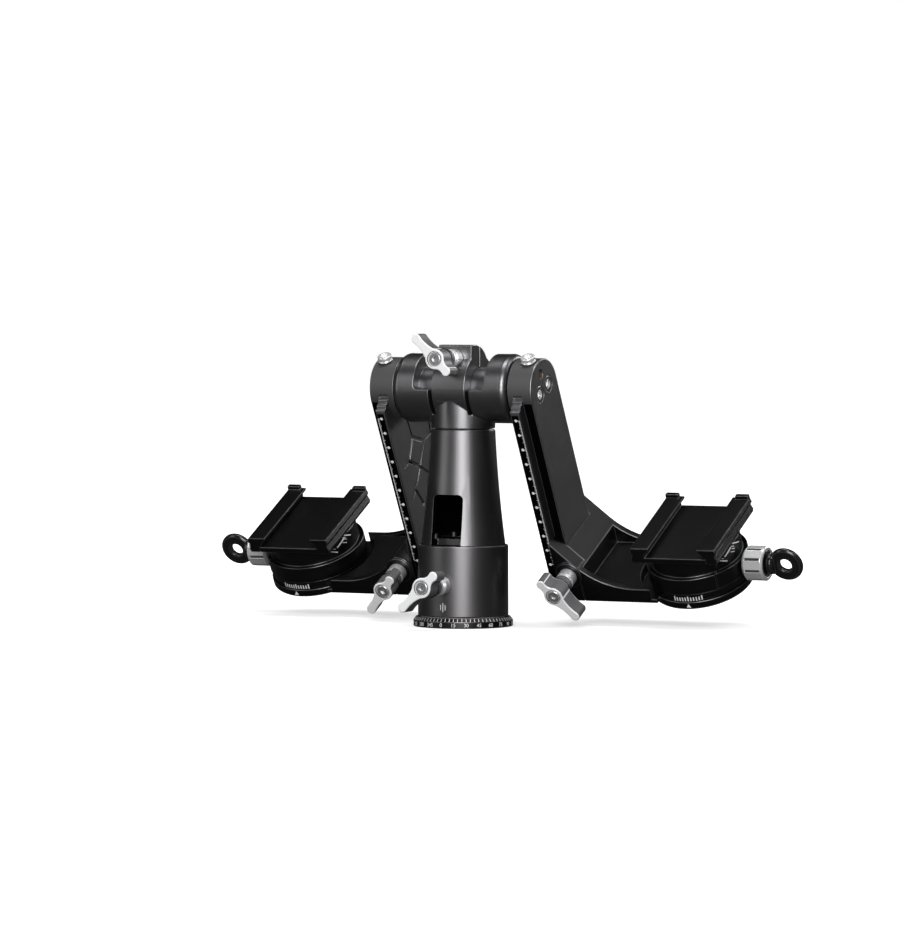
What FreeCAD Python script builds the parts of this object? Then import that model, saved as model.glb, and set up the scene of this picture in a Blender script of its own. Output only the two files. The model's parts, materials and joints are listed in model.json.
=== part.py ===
import FreeCAD, Part
import math
import os

from FreeCAD import Vector

# Twin-arm gimbal head. Millimetres, +Z up. The origin is the centre of the base's lower face.
# The arms hang from a cross shaft along X. In the "swing frame" Z runs along the arms and the
# shaft axis is at height 0; at rest that frame leans by rest_tilt, arm ends towards +Y.

# ---- fits and clearances ----
running_fit = 0.06          # radial play of a shaft or stud that turns in a hole
bolt_fit = 0.05             # radial play round a fastener inside one body
slide_fit = 0.15            # play between a sliding piece and its rail
turning_gap = 0.3           # flat gap between pieces that turn on each other
edge_break = 0.5            # small chamfer on turned edges

# ---- panning base ----
base_radius = 30.0
base_height = 6.0
base_bevel_height = 2.1
base_bevel_depth = 1.6
bush_radius = 8.0
bush_length = 15.0
bush_flange_radius = 11.0
bush_flange_height = 2.5
thread_radius = 3.97        # minor radius of the 3/8 inch tripod thread
spindle_flange_radius = 20.0
spindle_flange_height = 7.0
drum_radius = 15.0
spindle_radius = 12.0
spindle_end_radius = 9.0
spindle_wall = 3.0
nut_radius = 13.0
nut_height = 5.0
friction_ring_width = 3.6
friction_ring_depth = 0.9
flange_screw_circle = 16.0
flange_screw_count = 4
base_screw_recess = 3.2
nut_slot_half_width = 1.5
nut_slot_depth = 1.5
nut_slot_count = 4
nut_gap = 1.2               # round the nut, inside the column's top

# ---- column ----
column_radius = 27.2
column_wall = 6.2
column_web = 8.9            # thickness of the lower column's top, above the bearing
upper_radius_low = 25.5
upper_radius_mid = 22.0
upper_radius_top = 19.3
waist_rise = 31.0           # where upper_radius_mid lies above the joint
neck_step = 3.2             # from the cross tube's underside down to the seam
seam_groove = 0.5
upper_wall = 3.6
upper_web = 7.0
upper_flange = 4.0
window_width = 19.5
window_height = 30.5
window_corner = 3.0
bearing_height = 8.0
ball_radius = 2.1
ball_count = 18
ball_play = 0.12
pad_height = 8.0
pad_gap = 0.5               # drum above the brake pad
bearing_rise = 2.0          # bearing above the drum
bearing_shoulder = 1.2
race_share = 0.65           # how far each race reaches over the balls
column_screw_count = 4
neck_screw_circle = 8.5
neck_screw_count = 4
neck_screw_reach = 6.0
screw_ring_angle = 45.0     # degrees

# ---- yoke ----
tilt_axis_height = 143.0
tube_radius = 20.8
tube_half_length = 37.5
tube_shoulder_length = 4.6
tube_shoulder_drop = 2.2
clamp_half_width = 11.0
slot_width = 2.5
slot_depth = 15.7
notch_half_width = 23.5
notch_floor = -0.6
notch_corner = 2.5
ear_front = 11.0
ear_back = 12.0
ear_top = 26.2
ear_back_top = 14.0         # where the ear's rounded back starts
ear_crown_start = -5.5      # where the rounded back meets the ear's top
ear_crown_middle = (5.25, 22.97)
ear_slit = 1.6
tilt_screw_height = 18.0
tilt_nut_radius = 3.4
tilt_nut_inset = 2.0        # from the slit to the lock nut
tilt_nut_end = 6.0          # from the lock nut to the ear's back

# ---- cross shaft and arms ----
rest_tilt = 28.5            # degrees
shaft_radius = 12.5
tilt_bush_wall = 2.0
tilt_bush_inset = 0.5
arm_inner = 38.3
arm_outer = 54.2
boss_radius = 18.4
boss_end_wall = 5.0
spine_depth = 6.2
rail_depth = 6.0
rail_half_width = 26.5
rail_top = -3.5
rail_flare = 8.0
rail_length = 129.7
rail_chamfer = 0.6
rail_shoulder_inset = 2.0
rail_edge_rise = 2.0
rail_scallop_count = 3      # finger grooves across each sloping end of the rail's top
rail_scallop_radius = 1.3
rail_scallop_lift = 0.5
groove_depth = 0.8
groove_thin = 1.6
groove_wide = 2.4
wide_paths = [              # milled lines on the arm's inner face, as (y, z) points
    [(-1.5, -34.0), (10.5, -43.2), (-1.5, -54.5), (-8.0, -60.4), (-18.8, -67.2)],
    [(-11.5, -45.0), (-1.5, -54.5), (6.4, -64.1)],
    [(-13.2, -63.7), (-7.9, -77.1)]]
thin_paths = [
    [(-2.4, -22.0), (-1.5, -34.0), (-11.5, -45.0), (-18.8, -45.0)],
    [(10.5, -43.2), (20.7, -43.5), (22.1, -37.2)]]
big_screw_offset = 6.4
big_screw_head = 5.2
big_screw_length = 18.0
big_screw_sink = 0.3
big_head_floor = 1.6        # metal left under the head
tap_run_out = 3.0
brass_screw_offset = 10.3
brass_screw_radius = 2.8
brass_screw_reach = 4.0     # into the cross shaft
brass_screw_sink = 1.2
thumb_screw_place = 48.0
thumb_shank_radius = 2.5
thumb_head_radius = 4.35
thumb_collar_height = 1.4
thumb_waist_depth = 0.5
thumb_waist_height = 1.1
thumb_grip_height = 1.6
thumb_seat_depth = 0.5      # flat milled into the boss under the head
thumb_seat_margin = 0.9

# ---- cradles ----
leg_thickness = 11.0
leg_height = 39.9
lip_thickness = 2.4
lip_reach = 4.6
hook_wall = 2.4
rail_end_cover = 0.8        # cradle below the rail's end at rest
platform_thickness = 9.2
platform_reach = 112.0
gusset_angle = 47.5         # degrees
gusset_fillet = 50.0
gusset_wall = 4.6
jaw_split = 64.0
disc_offset = 18.0          # turning axis beyond the platform's end
disc_gap = 4.8              # round the turning disc
disc_radius = 31.2
disc_drop = 6.7             # disc below the platform's top
disc_thickness = 4.8
cradle_lever_rise = 9.3     # lever axis above the platform's top
cradle_lever_gap = 0.6      # between the lever's stud and the arm

# ---- panning clamp ----
turntable_radius = 30.0
turntable_height = 5.0
pivot_radius = 6.0
pivot_flange_radius = 9.0
pivot_flange_height = 1.8
pivot_head_height = 2.6
housing_radius = 28.0
housing_height = 21.9
housing_base_radius = 31.0  # the wider disc at the housing's foot
housing_base_height = 10.4
deck_height = 3.4
deck_overhang = 1.6
jaw_half_length = 31.0
channel_half_width = 19.0
channel_depth = 6.4
dovetail_land = 2.0
dovetail_lip = 3.2
jaw_wall = 9.0
jaw_top_inset = 0.8         # the jaw's outer side, from its widest part
jaw_ridge_drop = 2.6        # and from its top down
jaw_groove_depth = 1.2
jaw_groove_drop = 4.5
jaw_belly_drop = 7.6
jaw_foot_inset = 0.7
jaw_stop_width = 8.5
jaw_stop_height = 2.4
jaw_stop_length = 3.0
jaw_split_gap = 0.3
guide_pin_radius = 1.2
guide_pin_offset = 21.0
guide_pin_reach = 16.0
guide_pin_end = 1.0
clamp_screw_start = 4.0
clamp_screw_radius = 3.0
clamp_screw_rise = 4.64     # screw axis above the turntable's top
knob_radius = 10.6
knob_length = 13.6
knob_flutes = 9             # thin grooves, with a flat between each two
knob_flute_start = 6.5      # degrees, from the top towards -Y
knob_flute_radius = 0.8
knob_flute_depth = 1.0
knob_corner_radius = 11.0   # where the flats would meet
knob_chamfer = 1.9
knob_rim_chamfer = 1.0
knob_cap_step = 2.4
knob_cap_depth = 2.6        # recess for the cap in the knob's end
knob_cap_inset = 0.2        # the cap's face, inside the knob's end
knob_cap_chamfer = 0.6
finger_ring_radius = 10.7
finger_ring_hole = 3.9
finger_ring_thickness = 4.2
finger_ring_chamfer = 1.2
finger_hole_chamfer = 0.8
ring_neck_radius = 3.07
ring_neck_length = 3.0
ring_collar_radius = 6.4
ring_collar_length = 4.6
ring_collar_chamfer = 1.2
ring_set_back = 0.9         # from the cap to the finger ring's edge

# ---- locking levers ----
hub_radius = 6.1
hub_depth = 16.7
wing_depth = 11.3
wing_long = 20.3
wing_short = 13.2
wing_tip = 3.0
wing_waist = 0.9
wing_root_angle = 42.0      # degrees
lever_step = 0.4            # the hub behind the wings is this much slimmer
lever_recess_radius = 4.8
lever_recess_depth = 1.6
lever_screw_sink = 0.3
lever_screw_fit = 0.7       # dark ring round the lever's screw
lever_screw_radius = 2.2
lever_screw_reach = 3.0
lever_screw_chamfer = 0.6
lever_socket_size = 1.7
lever_socket_depth = 1.2
stud_radius = 2.6
stud_end_gap = 4.0
stem_radius = 4.4
stud_collar_radius = 5.6
stud_collar_length = 6.0
pan_lever_height = 25.6
pan_lever_face = 56.0
pan_lever_angle = -137.0    # degrees
tilt_lever_face = 38.6
tilt_lever_angle = 136.0    # degrees
cradle_lever_face = 55.0
cradle_lever_angle = -50.0  # degrees
lever_ring_radius = 8.5
lever_ring_rise = 1.6

# ---- fasteners ----
screw_radius = 2.0
screw_head_radius = 3.4
screw_head_height = 3.2
big_screw_radius = 3.0
hex_share = 0.58            # hex socket size against its head
socket_depth_share = 0.7    # hex socket depth against its head

X = Vector(1, 0, 0)
Y = Vector(0, 1, 0)
Z = Vector(0, 0, 1)
ORIGIN = Vector(0, 0, 0)


# ---- small tools ----
def cylinder(radius, length, start, direction):
    return Part.makeCylinder(radius, length, Vector(*start), direction)


def block(x0, x1, y0, y1, z0, z1):
    return Part.makeBox(x1 - x0, y1 - y0, z1 - z0, Vector(x0, y0, z0))


def tube(outer, inner, length, start, direction):
    return cylinder(outer, length, start, direction).cut(cylinder(inner, length, start, direction))


def prism(points, depth):
    wire = Part.makePolygon([Vector(*p) for p in points] + [Vector(*points[0])])
    return Part.Face(wire).extrude(depth)


def turned(profile, axis_start, axis, radial):
    """A solid of revolution from (radius, distance along the axis) points."""
    points = [axis_start + radial * r + axis * d for r, d in profile]
    wire = Part.makePolygon(points + [points[0]])
    return Part.Face(wire).revolve(axis_start, axis, 360)


def chamfered_cylinder(radius, length, chamfer, start, axis, radial):
    profile = [(0, 0), (radius - chamfer, 0), (radius, chamfer), (radius, length - chamfer),
               (radius - chamfer, length), (0, length)]
    return turned(profile, Vector(*start), axis, radial)


def hexagon(size, length, start, axis, radial):
    other = axis.cross(radial)
    corners = []
    for k in range(6):
        angle = math.radians(60 * k + 30)
        corners.append(Vector(*start) + radial * (size * math.cos(angle)) + other * (size * math.sin(angle)))
    return Part.Face(Part.makePolygon(corners + [corners[0]])).extrude(axis * length)


def around(shape, count, axis, first=0.0, centre=ORIGIN):
    copies = []
    for k in range(count):
        copy = shape.copy()
        copy.rotate(centre, axis, first + 360.0 * k / count)
        copies.append(copy)
    return copies


def screw_ring(shape, count):
    """Copies round the column's axis, the first between the +X and +Y directions."""
    return around(shape, count, Z, screw_ring_angle)


def united(shapes):
    result = shapes[0]
    for shape in shapes[1:]:
        result = result.fuse(shape)
    return result.removeSplitter()


def without(shape, tools):
    for tool in tools:
        shape = shape.cut(tool)
    return shape


def mirrored(shape):
    return shape.mirror(ORIGIN, X)


def swung(shape):
    """Moves a shape from the swing frame to its rest place."""
    placed = shape.copy()
    placed.rotate(ORIGIN, X, rest_tilt)
    placed.translate(Vector(0, 0, tilt_axis_height))
    return placed


def save(node, shapes):
    solids = shapes if isinstance(shapes, list) else [shapes]
    solids = [solid for shape in solids for solid in shape.Solids]
    shape = solids[0] if len(solids) == 1 else Part.makeCompound(solids)
    shape.exportStep(os.path.join("parts", node + ".step"))


def save_pair(name, shapes):
    """Saves a swing-frame piece of the +X side and its mirror image."""
    group = shapes if isinstance(shapes, list) else [shapes]
    save("right_" + name, [swung(shape) for shape in group])
    save("left_" + name, [swung(mirrored(shape)) for shape in group])


def socket_screw(length, start, axis, radial, shank=screw_radius, head=screw_head_radius):
    """A socket screw: start is the top of its head, and axis points down the shank."""
    profile = [(0, 0), (head - edge_break, 0), (head, edge_break), (head, screw_head_height),
               (shank, screw_head_height), (shank, length), (0, length)]
    screw = turned(profile, Vector(*start), axis, radial)
    return screw.cut(hexagon(head * hex_share, screw_head_height * hex_share, start, axis, radial))


# ---- sizes that follow from the driving ones ----
column_bottom = base_height + turning_gap
column_bore = column_radius - column_wall
spindle_flange_top = base_height + spindle_flange_height
drum_top = pan_lever_height + pad_height / 2 + pad_gap
bearing_bottom = drum_top + bearing_rise
bearing_top = bearing_bottom + bearing_height
bearing_middle = bearing_bottom + bearing_height / 2
column_joint_height = bearing_top + column_web
upper_mid_height = column_joint_height + waist_rise
seam_height = tilt_axis_height - tube_radius - neck_step
nut_bottom = bearing_top + running_fit
nut_top = nut_bottom + nut_height
web_bore = nut_radius + nut_gap
ball_circle = (spindle_radius + column_bore) / 2
column_screw_circle = upper_radius_low - upper_wall - screw_head_radius - 2 * edge_break
bush_seat_radius = shaft_radius + tilt_bush_wall
bush_start = notch_half_width + tilt_bush_inset
tilt_nut_start = ear_slit / 2 + tilt_nut_inset
thumb_seat = boss_radius - thumb_seat_depth
shaft_half_length = arm_outer - boss_end_wall
rail_inner = arm_outer - spine_depth - rail_depth
rail_outer = arm_outer - spine_depth
leg_inner = arm_outer + slide_fit
leg_outer = leg_inner + leg_thickness
platform_bottom = -(rail_length + rail_end_cover)
platform_top = platform_bottom + platform_thickness
leg_top = platform_bottom + leg_height
turn_axis = platform_reach + disc_offset
disc_top = platform_top - disc_drop
disc_bottom = disc_top - disc_thickness
hook_outer = rail_half_width + slide_fit + hook_wall
lever_axis_height = platform_top + cradle_lever_rise
cradle_lever_place = leg_inner + stud_radius + cradle_lever_gap
turntable_bottom = disc_top + running_fit
turntable_top = turntable_bottom + turntable_height
housing_top = turntable_top + housing_height
channel_floor = housing_top + deck_height
jaw_top = channel_floor + channel_depth
jaw_face = channel_half_width - dovetail_lip
jaw_back = channel_half_width + jaw_wall
deck_edge = channel_half_width + deck_overhang
dovetail_foot = channel_floor + dovetail_land
clamp_screw_height = turntable_top + clamp_screw_rise
guide_pin_height = housing_top + deck_height / 2
knob_start = max(housing_base_radius, jaw_back, disc_radius) + turning_gap
knob_end = knob_start + knob_length
knob_cap_start = knob_end - knob_cap_depth
knob_cap_end = knob_end - knob_cap_inset


# ---- panning base ----
def make_base_plate():
    bevel_start = base_height - base_bevel_height
    profile = [(0, edge_break), (0, base_height), (base_radius - base_bevel_depth, base_height),
               (base_radius, bevel_start), (base_radius, edge_break), (base_radius - edge_break, 0), (0, 0)]
    plate = turned(profile, ORIGIN, Z, X)
    tools = [cylinder(bush_radius + bolt_fit, base_height, (0, 0, 0), Z)]
    tools.append(friction_ring_shape(0.0))
    shank = cylinder(screw_radius + bolt_fit, base_height, (flange_screw_circle, 0, 0), Z)
    recess = cylinder(screw_head_radius + bolt_fit, base_screw_recess + edge_break,
                      (flange_screw_circle, 0, 0), Z)
    tools += screw_ring(shank, flange_screw_count) + screw_ring(recess, flange_screw_count)
    return without(plate, tools)


def friction_ring_shape(rise):
    outer = (column_radius + column_bore + friction_ring_width) / 2
    bottom = base_height - friction_ring_depth
    return tube(outer, outer - friction_ring_width, friction_ring_depth + rise, (0, 0, bottom), Z)


def make_tripod_bush():
    shank = cylinder(bush_radius, bush_length, (0, 0, 0), Z)
    flange = cylinder(bush_flange_radius, bush_flange_height, (0, 0, base_height), Z)
    thread = cylinder(thread_radius, bush_length, (0, 0, 0), Z)
    return united([shank, flange]).cut(thread)


def make_spindle():
    end_top = nut_top + edge_break
    shoulder = spindle_radius + bearing_shoulder
    profile = [(0, base_height), (spindle_flange_radius, base_height),
               (spindle_flange_radius, spindle_flange_top), (drum_radius, spindle_flange_top),
               (drum_radius, drum_top), (shoulder, drum_top),
               (shoulder, bearing_bottom), (spindle_radius, bearing_bottom),
               (spindle_radius, bearing_top), (spindle_end_radius, bearing_top),
               (spindle_end_radius, end_top), (0, end_top)]
    spindle = turned(profile, ORIGIN, Z, X)
    flange_space = cylinder(bush_flange_radius + bolt_fit, bush_flange_height + bolt_fit,
                            (0, 0, base_height), Z)
    bush_space = cylinder(bush_radius + bolt_fit, bush_length, (0, 0, base_height), Z)
    hollow = cylinder(spindle_end_radius - spindle_wall, end_top, (0, 0, base_height), Z)
    hole = cylinder(screw_radius + bolt_fit, spindle_flange_height, (flange_screw_circle, 0, base_height), Z)
    return without(spindle, [flange_space, bush_space, hollow] + screw_ring(hole, flange_screw_count))


def make_base_screws():
    depth = base_screw_recess - screw_head_height + edge_break
    length = base_height + spindle_flange_height - 2 * edge_break - depth
    screw = socket_screw(length, (flange_screw_circle, 0, depth), Z, X)
    return screw_ring(screw, flange_screw_count)


def make_spindle_nut():
    nut = chamfered_cylinder(nut_radius, nut_height, edge_break, (0, 0, nut_bottom), Z, X)
    bore = cylinder(spindle_end_radius + bolt_fit, nut_height, (0, 0, nut_bottom), Z)
    slot = block(nut_radius - nut_slot_depth, nut_radius + nut_slot_depth, -nut_slot_half_width,
                 nut_slot_half_width, nut_bottom, nut_top)
    return without(nut, [bore] + around(slot, nut_slot_count, Z))


def ball_groove():
    return Part.makeTorus(ball_circle, ball_radius + ball_play, Vector(0, 0, bearing_middle), Z)


def make_inner_race():
    race = tube(ball_circle - ball_radius * race_share, spindle_radius + bolt_fit, bearing_height,
                (0, 0, bearing_bottom), Z)
    return race.cut(ball_groove())


def make_outer_race():
    race = tube(column_bore - bolt_fit, ball_circle + ball_radius * race_share, bearing_height,
                (0, 0, bearing_bottom), Z)
    return race.cut(ball_groove())


def make_balls():
    ball = Part.makeSphere(ball_radius, Vector(ball_circle, 0, bearing_middle))
    return around(ball, ball_count, Z)


# ---- column ----
def make_lower_column():
    profile = [(0, column_bottom), (column_radius - edge_break, column_bottom),
               (column_radius, column_bottom + edge_break), (column_radius, column_joint_height - edge_break),
               (column_radius - edge_break, column_joint_height), (0, column_joint_height)]
    column = turned(profile, ORIGIN, Z, X)
    bore = cylinder(column_bore, bearing_top - column_bottom, (0, 0, column_bottom), Z)
    web_hole = cylinder(web_bore, column_joint_height, (0, 0, column_bottom), Z)
    stud = cylinder(stud_radius + running_fit, column_radius, (0, 0, pan_lever_height), -Y)
    screw = cylinder(screw_radius + bolt_fit, column_web, (column_screw_circle, 0,
                     column_joint_height - column_web), Z)
    return without(column, [bore, web_hole, stud] + screw_ring(screw, column_screw_count))


def column_arc(inset, low, high):
    """The column's waisted outline between two heights, pulled in by inset."""
    arc = Part.Arc(Vector(upper_radius_low, 0, column_joint_height),
                   Vector(upper_radius_mid, 0, upper_mid_height),
                   Vector(upper_radius_top, 0, seam_height)).toShape().Curve
    centre, radius = arc.Center, arc.Radius
    bulge = 1 if centre.x < upper_radius_low else -1
    points = []
    for k in range(3):
        z = low + (high - low) * k / 2
        points.append(Vector(centre.x + bulge * math.sqrt(radius ** 2 - (z - centre.z) ** 2) - inset, 0, z))
    return Part.Arc(*points).toShape()


def waisted_solid(inset, low, high):
    side = column_arc(inset, low, high)
    top = side.Vertexes[-1].Point
    bottom = side.Vertexes[0].Point
    axis_top, axis_bottom = Vector(0, 0, high), Vector(0, 0, low)
    edges = [side, Part.makeLine(top, axis_top), Part.makeLine(axis_top, axis_bottom),
             Part.makeLine(axis_bottom, bottom)]
    return Part.Face(Part.Wire(Part.__sortEdges__(edges))).revolve(ORIGIN, Z, 360)


def make_upper_column():
    top = seam_height - seam_groove
    column = waisted_solid(0.0, column_joint_height, top)
    flange_top = column_joint_height + upper_flange
    hollow = waisted_solid(upper_wall, flange_top, top - upper_web)
    flange_bore = cylinder(web_bore, upper_flange + edge_break, (0, 0, column_joint_height), Z)
    screw = cylinder(screw_radius + bolt_fit, upper_web, (column_screw_circle, 0, column_joint_height), Z)
    neck_hole = cylinder(screw_radius + bolt_fit, upper_web, (neck_screw_circle, 0, top - upper_web), Z)
    seam = tube(2 * upper_radius_top, upper_radius_top - seam_groove, seam_groove,
                (0, 0, top - seam_groove), Z)
    tools = [hollow, flange_bore, window_shape(), seam]
    tools += screw_ring(screw, column_screw_count) + screw_ring(neck_hole, neck_screw_count)
    return without(column, tools)


def window_shape():
    half = window_width / 2
    top = column_joint_height + window_height
    depth = -(web_bore + edge_break)
    opening = block(-half, half, -column_radius, depth, column_joint_height, top - window_corner)
    upper = block(-half + window_corner, half - window_corner, -column_radius, depth,
                  column_joint_height, top)
    corners = [cylinder(window_corner, column_radius + depth, (side * (half - window_corner),
               -column_radius, top - window_corner), Y) for side in (-1, 1)]
    return united([opening, upper] + corners)


def make_column_screws():
    head_top = column_joint_height + upper_flange + screw_head_height
    length = head_top - column_joint_height + column_web - edge_break
    low = socket_screw(length, (column_screw_circle, 0, head_top), -Z, X)
    web_bottom = seam_height - seam_groove - upper_web
    length = screw_head_height + upper_web + seam_groove + neck_screw_reach
    high = socket_screw(length, (neck_screw_circle, 0, web_bottom - screw_head_height), Z, X)
    return screw_ring(low, column_screw_count) + screw_ring(high, neck_screw_count)


def make_brake_pad():
    reach = column_bore - turning_gap
    half = pad_height / 2
    pad = block(-half, half, -reach, -drum_radius, pan_lever_height - half, pan_lever_height + half)
    pad = pad.common(cylinder(reach, pad_height, (0, 0, pan_lever_height - half), Z))
    return pad.cut(cylinder(drum_radius + turning_gap, pad_height, (0, 0, pan_lever_height - half), Z))


# ---- yoke ----
def tube_solid():
    """The cross tube with its rounded outer shoulders."""
    flat = tube_half_length - tube_shoulder_length
    low = tube_radius - tube_shoulder_drop
    turn = 1 - math.cos(math.radians(45))
    middle = (tube_half_length - tube_shoulder_length * turn, tube_radius - tube_shoulder_drop * turn)
    right = Part.Arc(Vector(flat, 0, tube_radius), Vector(middle[0], 0, middle[1]),
                     Vector(tube_half_length, 0, low)).toShape()
    left = Part.Arc(Vector(-flat, 0, tube_radius), Vector(-middle[0], 0, middle[1]),
                    Vector(-tube_half_length, 0, low)).toShape()
    ends = [Vector(tube_half_length, 0, low), Vector(tube_half_length, 0, 0),
            Vector(-tube_half_length, 0, 0), Vector(-tube_half_length, 0, low)]
    edges = [right, left, Part.makeLine(Vector(-flat, 0, tube_radius), Vector(flat, 0, tube_radius))]
    edges += [Part.makeLine(ends[k], ends[k + 1]) for k in range(3)]
    return Part.Face(Part.Wire(Part.__sortEdges__(edges))).revolve(ORIGIN, X, 360)


def ear_solid():
    outline = [(ear_back, ear_back_top), (ear_back, 0), (-ear_front, 0), (-ear_front, ear_top - edge_break),
               (-ear_front + edge_break, ear_top), (ear_crown_start, ear_top)]
    points = [Vector(-clamp_half_width, y, z) for y, z in outline]
    edges = [Part.makeLine(a, b) for a, b in zip(points, points[1:])]
    edges.append(Part.Arc(points[-1], Vector(-clamp_half_width, *ear_crown_middle), points[0]).toShape())
    return Part.Face(Part.Wire(Part.__sortEdges__(edges))).extrude(X * (2 * clamp_half_width))


def make_yoke():
    neck_bottom = seam_height - tilt_axis_height
    neck = cylinder(upper_radius_top, -neck_bottom, (0, 0, neck_bottom), Z)
    body = united([tube_solid(), neck, ear_solid()])
    tools = [cylinder(shaft_radius + running_fit, 2 * tube_half_length, (-tube_half_length, 0, 0), X)]
    slit = block(-clamp_half_width, clamp_half_width, -ear_slit / 2, ear_slit / 2, 0, ear_top)
    tools.append(slit)
    slot_floor = -slot_depth + slot_width / 2
    for side in (-1, 1):
        low, high = sorted((side * clamp_half_width, side * (clamp_half_width + slot_width)))
        tools.append(block(low, high, -tube_radius, tube_radius, slot_floor, ear_top))
        middle = (low + high) / 2
        tools.append(cylinder(slot_width / 2, 2 * tube_radius, (middle, -tube_radius, slot_floor), Y))
        tools.append(notch_shape(side))
        seat_start = bush_start if side > 0 else -tube_half_length
        seat_length = tube_half_length - bush_start
        tools.append(cylinder(bush_seat_radius + bolt_fit, seat_length, (seat_start, 0, 0), X))
    screw = cylinder(stud_radius + running_fit, ear_front, (0, 0, tilt_screw_height), -Y)
    spot_face = cylinder(stud_collar_radius + turning_gap, tube_radius,
                         (0, -ear_front, tilt_screw_height), -Y)
    nut = cylinder(tilt_nut_radius + bolt_fit, ear_back, (0, tilt_nut_start, tilt_screw_height), Y)
    through = cylinder(stud_radius + running_fit, ear_back, (0, 0, tilt_screw_height), Y)
    hole = cylinder(screw_radius + bolt_fit, neck_screw_reach + edge_break,
                    (neck_screw_circle, 0, neck_bottom), Z)
    tools += [screw, spot_face, nut, through] + screw_ring(hole, neck_screw_count)
    yoke = without(body, tools)
    yoke.translate(Vector(0, 0, tilt_axis_height))
    return yoke


def notch_shape(side):
    start = clamp_half_width
    low, high = sorted((side * start, side * notch_half_width))
    notch = block(low, high, -tube_radius, tube_radius, notch_floor + notch_corner, ear_top)
    narrow = block(*sorted((side * start, side * (notch_half_width - notch_corner))),
                   -tube_radius, tube_radius, notch_floor, ear_top)
    corner = cylinder(notch_corner, 2 * tube_radius, (side * (notch_half_width - notch_corner),
                      -tube_radius, notch_floor + notch_corner), Y)
    return united([notch, narrow, corner])


def make_tilt_bushes():
    bush = tube(bush_seat_radius, shaft_radius + running_fit, tube_half_length - bush_start - edge_break,
                (bush_start, 0, tilt_axis_height), X)
    return [bush, mirrored(bush)]


def make_tilt_nut():
    length = ear_back - tilt_nut_start - tilt_nut_end
    start = (0, tilt_nut_start, tilt_axis_height + tilt_screw_height)
    nut = cylinder(tilt_nut_radius, length, start, Y)
    return nut.cut(cylinder(stud_radius + running_fit, length, start, Y))


# ---- cross shaft and arms (swing frame, +X side) ----
def make_shaft():
    shaft = chamfered_cylinder(shaft_radius, 2 * shaft_half_length, edge_break,
                               (-shaft_half_length, 0, 0), X, Z)
    depth = big_screw_length - boss_end_wall + tap_run_out
    tools = []
    for side in (-1, 1):
        for offset in (-big_screw_offset, big_screw_offset):
            start = (side * shaft_half_length, offset, 0)
            tools.append(cylinder(big_screw_radius + bolt_fit, depth, start, -X * side))
        tools.append(brass_screw_shape(bolt_fit, side))
    return without(shaft, tools)


def brass_screw_shape(extra, side=1):
    """The lock screw, or with extra the hole for it, which runs out through the boss."""
    start = side * (shaft_half_length - brass_screw_reach)
    length = brass_screw_reach + boss_end_wall - brass_screw_sink
    if extra:
        length += 2 * brass_screw_sink
    return cylinder(brass_screw_radius + extra, length, (start, 0, brass_screw_offset), X * side)


def rail_outline():
    half = rail_half_width
    low = -rail_length
    cut = rail_chamfer
    shoulder = boss_radius - rail_shoulder_inset
    return [(-half + cut, rail_top + rail_edge_rise), (-shoulder, rail_top + rail_flare),
            (shoulder, rail_top + rail_flare), (half - cut, rail_top + rail_edge_rise),
            (half, rail_top), (half, low), (-half, low), (-half, rail_top)]


def make_arm():
    boss = cylinder(boss_radius, arm_outer - arm_inner - edge_break, (arm_inner, 0, 0), X)
    rim = turned([(0, 0), (boss_radius, 0), (boss_radius - edge_break, edge_break), (0, edge_break)],
                 Vector(arm_outer - edge_break, 0, 0), X, Z)
    spine_outline = [(rail_outer, -boss_radius), (arm_outer - edge_break, -boss_radius),
                     (arm_outer, -boss_radius + edge_break), (arm_outer, boss_radius - edge_break),
                     (arm_outer - edge_break, boss_radius), (rail_outer, boss_radius)]
    spine = prism([(x, y, 0) for x, y in spine_outline], -Z * rail_length)
    rail = prism([(rail_inner, y, z) for y, z in rail_outline()], X * rail_depth)
    arm = united([boss, rim, spine, rail])
    tools = [cylinder(shaft_radius + bolt_fit, shaft_half_length - arm_inner, (arm_inner, 0, 0), X)]
    for offset in (-big_screw_offset, big_screw_offset):
        tools.append(cylinder(big_screw_radius + bolt_fit, boss_end_wall, (shaft_half_length, offset, 0), X))
        tools.append(cylinder(big_screw_head + bolt_fit, boss_end_wall,
                              (arm_outer - big_head_depth(), offset, 0), X))
    tools.append(brass_screw_shape(bolt_fit))
    tools.append(cylinder(thumb_shank_radius + running_fit, boss_radius, (thumb_screw_place, 0, 0), Z))
    tools.append(cylinder(thumb_head_radius + thumb_seat_margin, boss_radius,
                          (thumb_screw_place, 0, thumb_seat), Z))
    return without(arm, tools + rail_chamfers() + rail_scallops() + rail_grooves())


def big_head_depth():
    return boss_end_wall - big_head_floor


def rail_chamfers():
    """Breaks the rail's four long edges."""
    cuts = []
    for x, inward in ((rail_inner, 1), (rail_outer, -1)):
        for side in (-1, 1):
            y = side * rail_half_width
            points = [(x, y, rail_top + rail_flare), (x + inward * rail_chamfer, y, rail_top + rail_flare),
                      (x, y - side * rail_chamfer, rail_top + rail_flare)]
            cuts.append(prism(points, -Z * (rail_length + rail_top + rail_flare)))
    return cuts


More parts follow.
